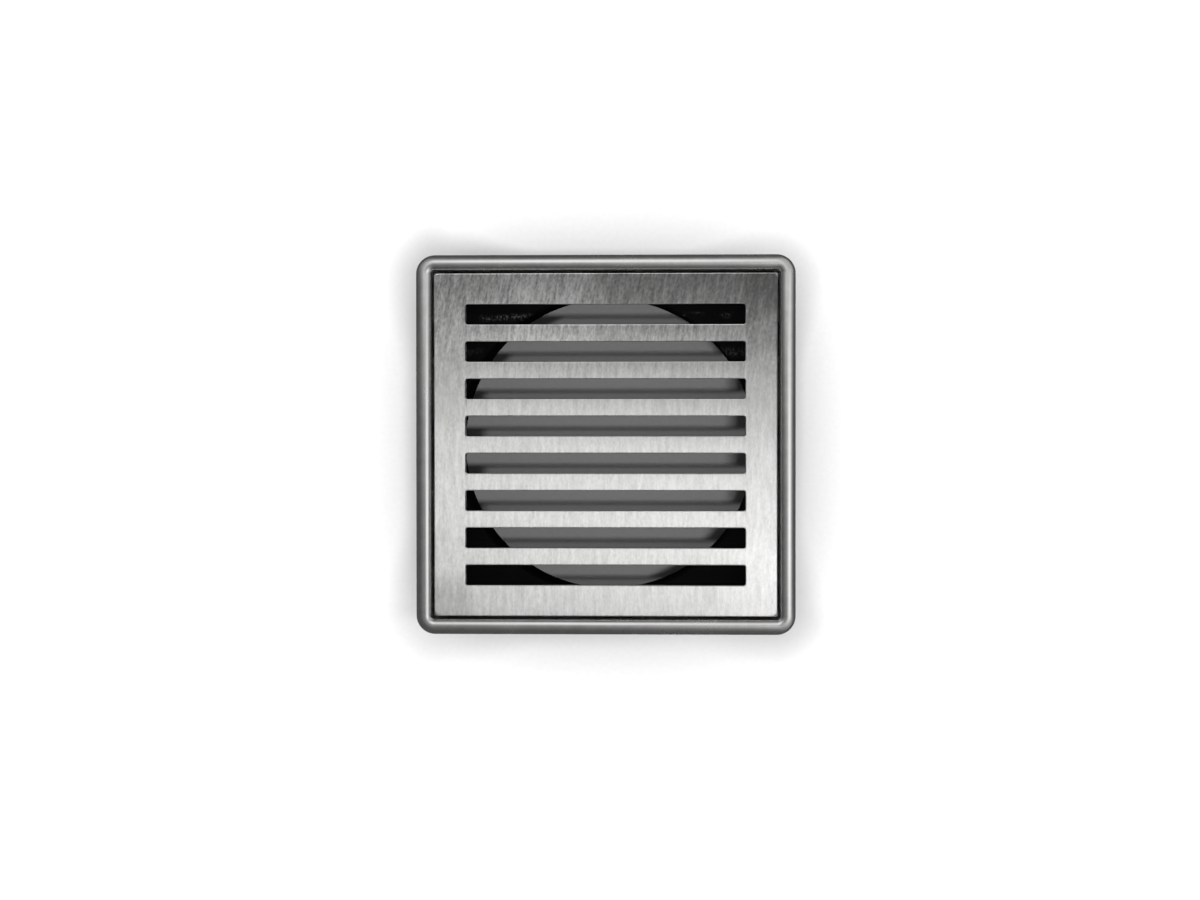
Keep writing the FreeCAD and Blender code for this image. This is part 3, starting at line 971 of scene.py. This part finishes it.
def build_pads():
    """Four pads on the ledge, under the left and right edges of the plate."""
    half_x, half_y, corner = 1.8, 5.0, 0.8
    shoulder_z, top_r = 27.45, 0.35
    # (inset, z)
    profile = [(0.28, Z_LEDGE_TOP), (0.08, 26.66), (0.0, 26.85), (0.0, shoulder_z)]
    profile += [(top_r * (1 - math.cos(t)), shoulder_z + top_r * math.sin(t))
                for t in np.linspace(0.3, math.pi / 2, 5)]
    for name, (sx, sy) in CORNERS.items():
        loops = [rounded(half_x - g, corner - g * 0.6, z, half_y=half_y - g,
                         corner_steps=6, side_steps=6, at=(46.5 * sx, 30.0 * sy))
                 for g, z in profile]
        add_piece("rest_pad_" + name, capped(loops), PAD_RUBBER, "frame", sharp=60)


# --------------------------------------------------------------------- clips
# Middle line of the right-hand clip, from its foot under the plate to its lower tip: (x, z)
CLIP_LINE = [(40.42, 27.59), (41.0, 27.59), (41.8, 27.59), (42.5, 27.57), (43.0, 27.42),
             (43.28, 27.12), (43.45, 26.75), (43.60, 26.38), (43.64, 26.10), (43.60, 25.80),
             (43.42, 25.30), (43.18, 24.85), (42.84, 24.30)]


def smooth_line(points, samples):
    """Catmull-Rom curve through the points."""
    points = np.array(points)
    line = []
    for place in np.linspace(0, len(points) - 1, samples):
        i = min(int(place), len(points) - 2)
        u = place - i
        p0, p1, p2 = points[max(i - 1, 0)], points[i], points[i + 1]
        p3 = points[min(i + 2, len(points) - 1)]
        line.append(0.5 * ((2 * p1) + (p2 - p0) * u + (2 * p0 - 5 * p1 + 4 * p2 - p3) * u ** 2
                           + (3 * p1 - p0 - 3 * p2 + p3) * u ** 3))
    return np.array(line)


def clip_mesh():
    thick, edge = 0.2, 0.05                         # half thickness, chamfer
    half_width, end_r = 8.0, 1.2                    # end_r rounds the corners of both ends
    waist, waist_at, waist_spread = 0.5, 2.9, 0.9   # slight waist in the bend
    line = smooth_line(CLIP_LINE, 61)
    along = np.gradient(line, axis=0)
    along /= np.linalg.norm(along, axis=1)[:, None]
    normals = np.stack([-along[:, 1], along[:, 0]], 1)
    lengths = np.linalg.norm(np.diff(line, axis=0), axis=1)
    run = np.concatenate([[0], np.cumsum(lengths)])
    loops = []
    for centre, normal, s in zip(line, normals, run):
        from_end = min(s, run[-1] - s)
        cut = end_r - math.sqrt(max(end_r * end_r - (end_r - min(from_end, end_r)) ** 2, 0))
        half = half_width - cut - waist * math.exp(-((s - waist_at) / waist_spread) ** 2)
        # (offset along the normal, y) round the section
        section = [(thick, half - edge), (thick - edge, half), (-thick + edge, half),
                   (-thick, half - edge), (-thick, half * 0.5), (-thick, 0),
                   (-thick, -half * 0.5), (-thick, -half + edge), (-thick + edge, -half),
                   (thick - edge, -half), (thick, -half + edge), (thick, -half * 0.5),
                   (thick, 0), (thick, half * 0.5)]
        loops.append(np.array([(centre[0] + normal[0] * offset, y, centre[1] + normal[1] * offset)
                               for offset, y in section]))
    # two spot-weld dimples on the foot
    dimple = [(0.02, 27.35), (0.45, 27.34), (0.7, 27.36), (0.85, 27.40), (0.85, 27.45),
              (0.02, 27.45)]
    return merge([capped(loops)] + [lathe(dimple, 32, (41.45, y)) for y in (-4.2, 4.2)])


def build_clips():
    verts, faces = clip_mesh()
    for side, degrees in [("right", 0), ("back", 90), ("left", 180), ("front", 270)]:
        a = math.radians(degrees)
        turn = np.array([[math.cos(a), -math.sin(a), 0], [math.sin(a), math.cos(a), 0],
                         [0, 0, 1]])
        add_piece("clip_" + side, (verts @ turn.T, faces), SPRING_STEEL, "grate", sharp=45)


# ------------------------------------------------- round parts on the thread
def build_slip():
    profile = [(47.4, 12.76), (47.46, 12.70), (49.94, 12.70), (50.0, 12.76), (50.0, 13.44),
               (49.94, 13.5), (47.46, 13.5), (47.4, 13.44)]
    add_piece("slip_washer", lathe(profile, 240), SLIP_PLASTIC, "washer", sharp=50)


def build_bedding():
    """Rubber seal below the slip washer, with two V grooves in its underside."""
    profile = [(47.4, 10.8), (47.5, 10.7), (48.5, 10.7), (48.75, 10.95), (49.0, 10.7),
               (49.9, 10.7), (50.15, 10.95), (50.4, 10.7), (51.85, 10.7)]
    profile += arc(51.7, 11.0, 0.3, -60, 0, 4) + [(52.0, 11.7)] + arc(51.7, 12.4, 0.3, 0, 90, 4)
    profile += [(49.5, 12.7), (47.5, 12.7), (47.4, 12.6)]
    add_piece("bedding_seal", lathe(profile, 240), SEAL_RUBBER, "washer", sharp=45)


def notched_outline(angles):
    """Outer radius of the height ring, with finger notches."""
    notches, notch_centre, notch_r = 12, 51.6, 3.4
    step = 2 * math.pi / notches
    offset = np.mod(angles, step) - step / 2
    inside = notch_r ** 2 - (notch_centre * np.sin(offset)) ** 2
    cut = notch_centre * np.cos(offset) - np.sqrt(np.maximum(inside, 0))
    outer = np.minimum(RING_OUTER, np.where(inside > 0, cut, 1e3))
    # average over neighbouring points to round the shoulders
    kernel = np.exp(-(np.arange(-4, 5) / 1.8) ** 2)
    kernel /= kernel.sum()
    outer = sum(weight * np.roll(outer, shift) for weight, shift in zip(kernel, range(-4, 5)))
    return np.minimum(outer, RING_OUTER)


def build_ring():
    angles = even_angles(600)
    outer = notched_outline(angles)
    clearance, flank_clearance = 0.25, 0.15
    bore = ROOT + clearance
    face_r = 48.6    # a loop across each end face

    def bore_at(z):
        height = thread_height(angles, z, flank_clearance + clearance * THREAD_SLOPE, ends=False)
        return bore + height / THREAD_RISE * (CREST + clearance - bore)

    def mouth(z):
        return ring(np.maximum(bore_at(z), bore + 0.25), z, angles)

    # rounded rims: (inset, distance from the end)
    rim = [(0.5, 0.0), (0.15, 0.15), (0.0, 0.5), (0.0, 1.5)]
    loops = [ring(outer - inset, RING_LOW + d, angles) for inset, d in rim]
    loops += [ring(outer - inset, RING_TOP - d, angles) for inset, d in reversed(rim)]
    loops += [ring(face_r, RING_TOP, angles), mouth(RING_TOP)]
    for z in np.arange(RING_TOP - 0.1, RING_LOW + 0.05, -0.1):
        loops.append(ring(bore_at(z), z, angles))
    loops += [mouth(RING_LOW), ring(face_r, RING_LOW, angles)]
    add_piece("height_ring", loft(loops), RING_PLASTIC, "ring", sharp=40)


build_bezel()
build_plate()
build_riser()
build_riser_bosses()
build_fasteners()
build_gasket()
build_seal()
build_pads()
build_clips()
build_slip()
build_bedding()
build_ring()

# -------------------------------------------------------------------- studio
FLOOR_Z = -0.00002
FLOOR_HALF, FLOOR_HOLE, FLOOR_STEPS = 6.0, 0.0432, 128
FLOOR_GREY = (0.81, 0.83)
# painted shade: the floor inside the spigot is the same pale paper, dark here only because it lies in shade
INSIDE_SHADE_GREY = 0.055                        # the sheet inside the spigot
GLOSSY_FLOOR = 0.09                        # how bright reflections see both floors
WORLD_DIFFUSE = 1.63
WORLD_HORIZON, WORLD_TOP = 0.07, 0.085     # what metal reflects, low and overhead
TENT_R, TENT_Z = 0.257, Z_CREST * MM
BAND_R, BAND_Z = 0.42, 0.025
SHEET_X, SHEET_Y, SHEET_Z = 0.9, 0.8, 0.8315    # half sizes and height of the sky sheet


def raised(z):
    return Matrix.Translation((0, 0, z))


def stage_mesh(name, verts, faces, material, matrix, receivers=None, **visible):
    """A studio object in metres; a light falls only on its receivers."""
    data = bpy.data.meshes.new(name)
    data.from_pydata(verts, [], faces)
    data.materials.append(material)
    ob = bpy.data.objects.new(name, data)
    ob.matrix_world = matrix
    scene.collection.objects.link(ob)
    for ray, seen in visible.items():
        setattr(ob, "visible_" + ray, seen)
    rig.stage(ob)
    if receivers is not None:
        collection = bpy.data.collections.new(name + "_receivers")
        for receiver in receivers:
            collection.objects.link(receiver)
        ob.light_linking.receiver_collection = collection
    return ob


def floor_shade(kit):
    """Painted shadow: the soft grey the object leaves on the floor close round its edge."""
    x, y, _ = kit.split(kit.position)
    across, along = abs(x), abs(y)
    distance = kit.from_corner(across, along) - BEZEL_R * MM
    corner = kit.math("MINIMUM", across, along).eased(over=(0.020, 0.054))
    # how far it spreads: further on the left, at the front and at the corners
    reach = (x.eased(over=(-0.046, -0.056), to=(0.0042, 0.0088))
             + y.eased(over=(-0.046, -0.056), to=(0.0, 0.0038)))
    fade = distance / (reach + corner * 0.0085)
    # how dark it is, with extra on the left side and at the corners
    depth = (x.eased(over=(-0.054, 0.054), to=(0.33, 0.145))
             + y.eased(over=(-0.054, 0.054), to=(-0.065, 0.065)))
    left = (y.eased(over=(0.045, -0.045), to=(0.015, 0.13))
            * y.eased(over=(-0.054, -0.048)))
    at_corner = (x.eased(over=(-0.04, 0.04))
                 * y.eased(over=(-0.04, 0.04), to=(0.24, 0.05)))
    depth = depth + x.eased(over=(-0.046, -0.056)) * left + corner * at_corner
    return 1.0 - depth * fade.eased(over=(1.0, 0.0))


def floor_material(name, grey, shade=None):
    """Matt paper between two greys, which reflections see as an even dim glow."""
    material, kit = new_material(name)
    tone = kit.noise(700, detail=3, rough=0.6).eased(over=(0.3, 0.7), to=grey)
    if shade:
        tone = tone * shade(kit)
    kit.surface({"Base Color": kit.vector(tone, tone, tone), "Roughness": 0.9,
                 "Specular IOR Level": 0.0})
    paper = Signal(kit, kit.tree.nodes["Principled BSDF"].outputs[0])
    glow = kit.add("Emission", {"Strength": GLOSSY_FLOOR})
    is_glossy = kit.add("LightPath", output="Is Glossy Ray")
    mixed = kit.add("MixShader", {0: is_glossy, 1: paper, 2: glow})
    kit.feed(kit.tree.nodes["Material Output"].inputs["Surface"], mixed)
    return material


def build_floor():
    """A pale floor, and a dark grey sheet of its own inside the spigot, which is returned; the sheet's grey is painted
    shade.
    """
    count = FLOOR_STEPS
    inner = [(FLOOR_HOLE * math.cos(2 * math.pi * i / count),
              FLOOR_HOLE * math.sin(2 * math.pi * i / count), 0) for i in range(count)]
    outer = []
    for x, y, _ in inner:
        stretch = FLOOR_HALF / max(abs(x), abs(y))
        outer.append((x * stretch, y * stretch, 0))
    faces = [(i, (i + 1) % count, count + (i + 1) % count, count + i) for i in range(count)]
    stage_mesh("floor", inner + outer, faces,
               floor_material("studio_floor", FLOOR_GREY, floor_shade), raised(FLOOR_Z))
    inside_shade_grey = (INSIDE_SHADE_GREY * 0.97, INSIDE_SHADE_GREY * 1.03)
    return stage_mesh("floor_inside", inner, [tuple(range(count))],
                      floor_material("inside_floor", inside_shade_grey), raised(FLOOR_Z))


def build_world():
    world = bpy.data.worlds.new("studio")
    scene.world = world
    world.use_nodes = True
    world.node_tree.nodes.clear()
    kit = Kit(world.node_tree)
    up = kit.split(kit.add("TexCoord", output="Generated"))[2]
    reflected = up.eased(over=(0.0, 1.0), to=(WORLD_HORIZON, WORLD_TOP))
    is_glossy = kit.add("LightPath", output="Is Glossy Ray")
    strength = is_glossy * reflected + (1.0 - is_glossy) * WORLD_DIFFUSE
    background = kit.add("Background", {"Color": (1, 1, 1), "Strength": strength})
    kit.node("OutputWorld", {"Surface": background})


def add_light(name, verts, faces, strength, matrix, receivers, **visible):
    material, kit = new_material(name)
    kit.tree.nodes.clear()
    glow = kit.add("Emission", {"Strength": strength(kit) if callable(strength) else strength})
    both = kit.add("AddShader", {0: glow, 1: kit.add("BsdfTransparent")})
    kit.node("OutputMaterial", {"Surface": both})
    visible = {"camera": False, "diffuse": False, "shadow": False, **visible}
    return stage_mesh(name, verts, faces, material, matrix, receivers, **visible)


def facing(position, target):
    """Rotation that points local -Z at the target and keeps local X level in Y."""
    back = (position - target).normalized()
    right = Vector((1, 0, 0))
    right = (right - back * right.dot(back)).normalized()
    return Matrix((right, back.cross(right), back)).transposed()


def add_tube(name, at, size, radiance, receivers):
    """A flat rectangle of light that faces the origin; at and size are in mm."""
    x, y = size[0] / 2 * MM, size[1] / 2 * MM
    position = Vector(at) * MM
    matrix = Matrix.Translation(position) @ facing(position, Vector((0, 0, 0))).to_4x4()
    add_light(name, [(-x, -y, 0), (x, -y, 0), (x, y, 0), (-x, y, 0)], [(0, 1, 2, 3)],
              radiance, matrix, receivers, diffuse=True, glossy=False)


def add_plate_sheet(receivers):
    """A wide sheet high overhead that lights a broad band from left to right."""
    def strength(kit):
        x, y, _ = kit.split(kit.position)
        # distances inside the soft back and front edges; both drop to the right
        from_back = 0.0161 + x * -0.193 - y
        from_front = y - (-0.0933 + x * -0.385)
        back_edge = from_back.linear(over=(-0.035, 0.035))
        front_edge = from_front.linear(over=(-0.0201, 0.0201))
        deep = y.linear(over=(-0.5, 0.481), to=(2.11, 0.0))
        side = x.linear(over=(-0.9, 0.9), to=(0.897, 1.103))
        ends = abs(x).linear(over=(0.52, 0.33))
        radiance = 2.66
        return back_edge * front_edge * deep * (side * ends) * radiance

    x, y = SHEET_X, SHEET_Y
    add_light("plate_sheet", [(-x, -y, 0), (-x, y, 0), (x, y, 0), (x, -y, 0)], [(0, 1, 2, 3)],
              strength, raised(SHEET_Z), receivers)


# How bright the tent is: (degrees from straight up, brightness), left to right (X)
# and front to back (Y)
TENT_X = ((-90, 0.12), (-78, 0.12), (-64, 0.126), (-50, 0.188), (-40, 0.238), (-30, 0.309),
          (-20, 0.379), (-10, 0.424), (0, 0.508), (7, 0.56), (14, 0.56), (21, 0.56), (28, 0.56),
          (35, 0.56), (42, 0.56), (49, 0.56), (56, 0.56), (63, 0.56), (70, 0.411), (80, 0.247),
          (90, 0.143))
TENT_Y = ((-90, 0.097), (-78, 0.097), (-64, 0.097), (-50, 0.114), (-40, 0.148), (-30, 0.192),
          (-20, 0.241), (-10, 0.302), (0, 0.408), (7, 0.539), (14, 0.56), (21, 0.56), (28, 0.56),
          (35, 0.56), (42, 0.56), (49, 0.56), (56, 0.56), (63, 0.307), (70, 0.192), (80, 0.121),
          (90, 0.097))
TENT_FULL = 0.56    # the highest value in both tables
# Extra glow to the right (X) and to the back (Y), by the same angles
GLOW_X = ((0, 0), (7, 0.098), (14, 0.296), (21, 0.587), (28, 0.807), (35, 0.962), (42, 1.006),
          (49, 0.757), (56, 0.414), (63, 0.145), (70, 0), (80, 0), (90, 0))
GLOW_Y = ((0, 0), (7, 0), (14, 0.282), (21, 0.645), (28, 0.879), (35, 1.035), (42, 0.735),
          (49, 0.336), (56, 0.037), (63, 0), (70, 0), (80, 0), (90, 0))
# How far each glow reaches sideways, by the angle along the other axis
REACH_X = ((-70, 0.0), (-45, 0.2), (-25, 0.57), (-16, 1.1), (-8, 1.38), (0, 1.0), (8, 0.5),
           (16, 0.2), (25, 0.0), (35, 0.0))
REACH_Y = ((-70, 0.0), (-45, 0.15), (-25, 0.43), (-16, 0.85), (-8, 1.13), (-2, 1.0), (9, 0.63),
           (16, 0.3), (25, 0.0), (35, 0.0))


def degrees_of(offset, radius):
    """Angle whose sine is offset / radius; kept just inside 90 degrees."""
    return offset.kit.math("ARCSINE", offset * (0.9999 / radius)) * (180 / math.pi)


def circles(levels, count, start=0):
    """Circles at (radius, z), and the quads between them, numbered from start."""
    verts = [(radius * math.cos(2 * math.pi * j / count),
              radius * math.sin(2 * math.pi * j / count), z)
             for radius, z in levels for j in range(count)]
    faces = []
    for i in range(len(levels) - 1):
        q = start + i * count
        faces += [(q + j, q + count + j, q + count + (j + 1) % count, q + (j + 1) % count)
                  for j in range(count)]
    return verts, faces


def add_tent(receivers):
    """A dome round the object, brightest to the right and to the back."""
    def strength(kit):
        x, y, _ = kit.split(kit.position)
        across, along = degrees_of(x, TENT_R), degrees_of(y, TENT_R)
        base = across.curve(TENT_X) * along.curve(TENT_Y) * (1 / TENT_FULL)
        glow = kit.math("MAXIMUM", across.curve(GLOW_X) * along.curve(REACH_X),
                        along.curve(GLOW_Y) * across.curve(REACH_Y))
        dimmed = 0.075    # taken off everywhere
        return kit.math("MAXIMUM", base + glow - dimmed, 0.0)

    rows, count = 20, 64
    tilts = [0.5 * math.pi * i / rows for i in range(1, rows + 1)]
    verts, faces = circles([(TENT_R * math.sin(t), TENT_R * math.cos(t)) for t in tilts],
                           count, start=1)
    cap = [(0, 1 + j, 1 + (j + 1) % count) for j in range(count)]
    add_light("tent", [(0, 0, TENT_R)] + verts, cap + faces, strength, raised(TENT_Z), receivers)


def add_band(name, low, high, radiance, receivers, pattern=None):
    """A ring of light between two elevations in degrees."""
    def strength(kit):
        x, y, z = kit.split(kit.position)
        elevation = degrees_of(z, BAND_R)
        glow = (elevation.eased(over=(low, low + 0.35 * (high - low)))
                * elevation.eased(over=(high, high - 0.4 * (high - low))))
        if pattern:
            glow = glow * pattern(x, y)
        return glow * radiance

    rows, count = 8, 96
    tilts = [math.radians(low + (high - low) * i / rows) for i in range(rows + 1)]
    verts, faces = circles([(BAND_R * math.cos(t), BAND_R * math.sin(t)) for t in tilts], count)
    add_light(name, verts, faces, strength, raised(BAND_Z), receivers)


def from_the_back(x, y):
    """Only a slice beyond the back edge: it catches the rounded edges, not the flat."""
    return (y.eased(over=(0.25 * BAND_R, 0.45 * BAND_R))
            * abs(x).eased(over=(0.5 * BAND_R, 0.25 * BAND_R)))


def front_and_back(x, y):
    """Leaves out left and right, across the brush, which the plate scatters straight up."""
    return abs(y).eased(over=(0.25 * BAND_R, 0.55 * BAND_R))


inside_sheet = build_floor()
build_world()
plate = bpy.data.objects["grate_plate_visual"]
bezel = bpy.data.objects["bezel_frame_visual"]
others = [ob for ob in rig.pieces() if ob != plate] if hasattr(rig, "pieces") else [bezel]
add_tent(others)
add_band("plate_band", low=6, high=42, radiance=1.0, receivers=[plate], pattern=front_and_back)
add_band("plate_rim_light", low=36, high=64, radiance=3.6, receivers=[plate],
         pattern=from_the_back)
add_band("body_band", low=1, high=44, radiance=6.0,
         receivers=[ob for ob in others if ob is not bezel])
add_plate_sheet([plate])
# two far tubes that throw the bars' shadows on the sheet inside the spigot
add_tube("tube_1", at=(-118, 116, 831), size=(90, 40), radiance=878.0, receivers=[inside_sheet])
add_tube("tube_2", at=(146, -65, 831), size=(120, 40), radiance=1076.0, receivers=[inside_sheet])

# -------------------------------------------------------------------- camera
CAMERA_AT = Vector((35.0, 9.0, Z_CREST + 800.0)) * MM
CAMERA_AIM = Vector((-1.44, -1.47, Z_CREST)) * MM
SENSOR_WIDTH = 36.0
VIEW_DISTANCE, VIEW_WIDTH = 800.6, 340.3    # the view is this wide at this distance, mm

camera = bpy.data.cameras.new("camera")
camera_ob = bpy.data.objects.new("camera", camera)
scene.collection.objects.link(camera_ob)
camera_ob.location = CAMERA_AT
camera_ob.rotation_euler = facing(CAMERA_AT, CAMERA_AIM).to_euler()
camera.sensor_width = SENSOR_WIDTH
camera.lens = SENSOR_WIDTH * VIEW_DISTANCE / VIEW_WIDTH
camera.clip_start = 0.01
scene.camera = camera_ob

scene.view_settings.view_transform = "Standard"
scene.view_settings.look = "None"
scene.cycles.use_denoising = True
scene.cycles.max_bounces = 8
scene.cycles.sample_clamp_indirect = 6.0

json.dump({"cad": [[float(c) for c in v] for v in cad_box],
           "visual": [[float(c) for c in v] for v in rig.bounds()]}, open("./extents.json", "w"))
